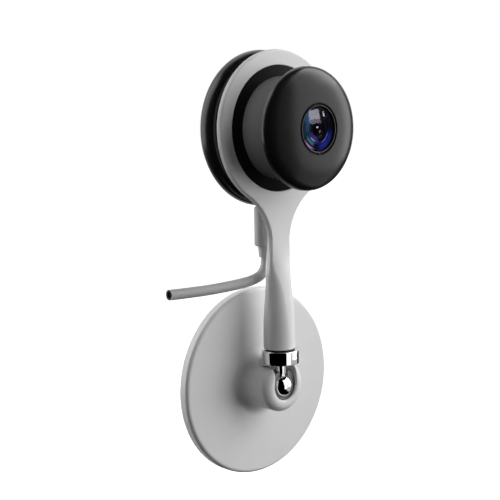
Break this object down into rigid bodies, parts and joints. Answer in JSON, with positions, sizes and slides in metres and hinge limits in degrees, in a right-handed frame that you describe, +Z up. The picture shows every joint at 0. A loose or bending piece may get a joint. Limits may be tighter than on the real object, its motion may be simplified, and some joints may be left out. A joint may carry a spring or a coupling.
{
  "type": "baby monitor camera",
  "caption": "Wall-mounted baby monitor camera: a round camera head in a ring on a slim arm, which tilts on a chrome ball joint in a disc base, with a plugged-in power lead.",
  "frame": {"origin": "centre of the base's back face, on the wall", "axes": "+Z up along the arm, +Y into the wall, the camera looks along -Y"},
  "size_m": [0.0963, 0.045, 0.1903],
  "materials": {
    "white_shell": "satin",
    "black_shell": "satin",
    "grey_barrel": "satin",
    "black_trim": "gloss",
    "chrome": "polished",
    "lens_glass": "clear",
    "cup_grey": "satin",
    "steel": "brushed",
    "brass": "satin",
    "plate_grey": "matte",
    "foam_black": "matte",
    "board_green": "satin",
    "component_black": "matte",
    "led_clear": "gloss",
    "heat_plate": "satin",
    "lead_grey": "satin",
    "socket_black": "matte"
  },
  "bodies": {
    "base": {"base_shell": "white_shell", "ballast_plate": "steel", "back_plate": "plate_grey", "adhesive_pad": "foam_black", "base_screws": "steel", "pressure_spring": "steel", "spring_cap": "steel"},
    "socket_cup": {"swivel_cup": "cup_grey", "friction_shoe": "cup_grey"},
    "stud": {"ball": "chrome", "stem": "chrome", "collar": "chrome", "retaining_clip": "steel"},
    "button": {"setup_button": "black_shell"},
    "ir_filter": {"filter_frame": "cup_grey", "filter_glass": "lens_glass"},
    "power_lead": {"plug_shell": "steel", "plug_body": "lead_grey", "strain_relief": "lead_grey", "lead": "lead_grey", "lead_socket": "lead_grey", "lead_socket_insert": "socket_black"},
    "head": {"arm": "white_shell", "rear_shell": "black_shell", "rear_cover": "black_shell", "front_cap": "black_shell", "barrel": "grey_barrel", "lens_trim": "black_trim", "lens_hood": "black_trim", "lens_barrel": "black_trim", "pivot_washer": "black_trim", "lens_window": "lens_glass", "front_lens": "lens_glass", "rear_lens": "lens_glass", "light_pipe": "lens_glass", "lens_holder": "cup_grey", "head_screws": "steel", "usb_port": "steel", "pivot_bush": "brass", "filter_coil": "brass", "shell_gasket": "foam_black", "sensor_board": "board_green", "ir_led_board": "board_green", "main_board": "board_green", "flex_cable": "board_green", "wifi_antenna": "board_green", "image_sensor": "component_black", "processor": "component_black", "speaker": "component_black", "microphone": "component_black", "button_switch": "component_black", "ir_leds": "led_clear", "heat_spreader": "heat_plate"}
  },
  "joints": [
    {"name": "lean", "type": "hinge", "parent": "base", "child": "socket_cup", "pos_m": [0, -0.019, 0], "axis": [0, 1, 0], "range_deg": [-15, 15]},
    {"name": "tilt", "type": "hinge", "parent": "socket_cup", "child": "stud", "pos_m": [0, -0.019, 0], "axis": [1, 0, 0], "range_deg": [0, 90]},
    {"name": "pan", "type": "hinge", "parent": "stud", "child": "head", "pos_m": [0, -0.019, 0.017], "axis": [0, 0, 1], "range_deg": [-90, 90]},
    {"name": "button_press", "type": "slide", "parent": "head", "child": "button", "axis": [0, -1, 0], "range_m": [0, 0.0004], "stiffness_N_per_m": 500, "springref_m": -0.0005},
    {"name": "filter_shift", "type": "slide", "parent": "head", "child": "ir_filter", "axis": [1, 0, 0], "range_m": [0, 0.0062]},
    {"name": "plug_pull", "type": "slide", "parent": "head", "child": "power_lead", "axis": [0, 0, -1], "range_m": [0, 0.0065]}
  ]
}
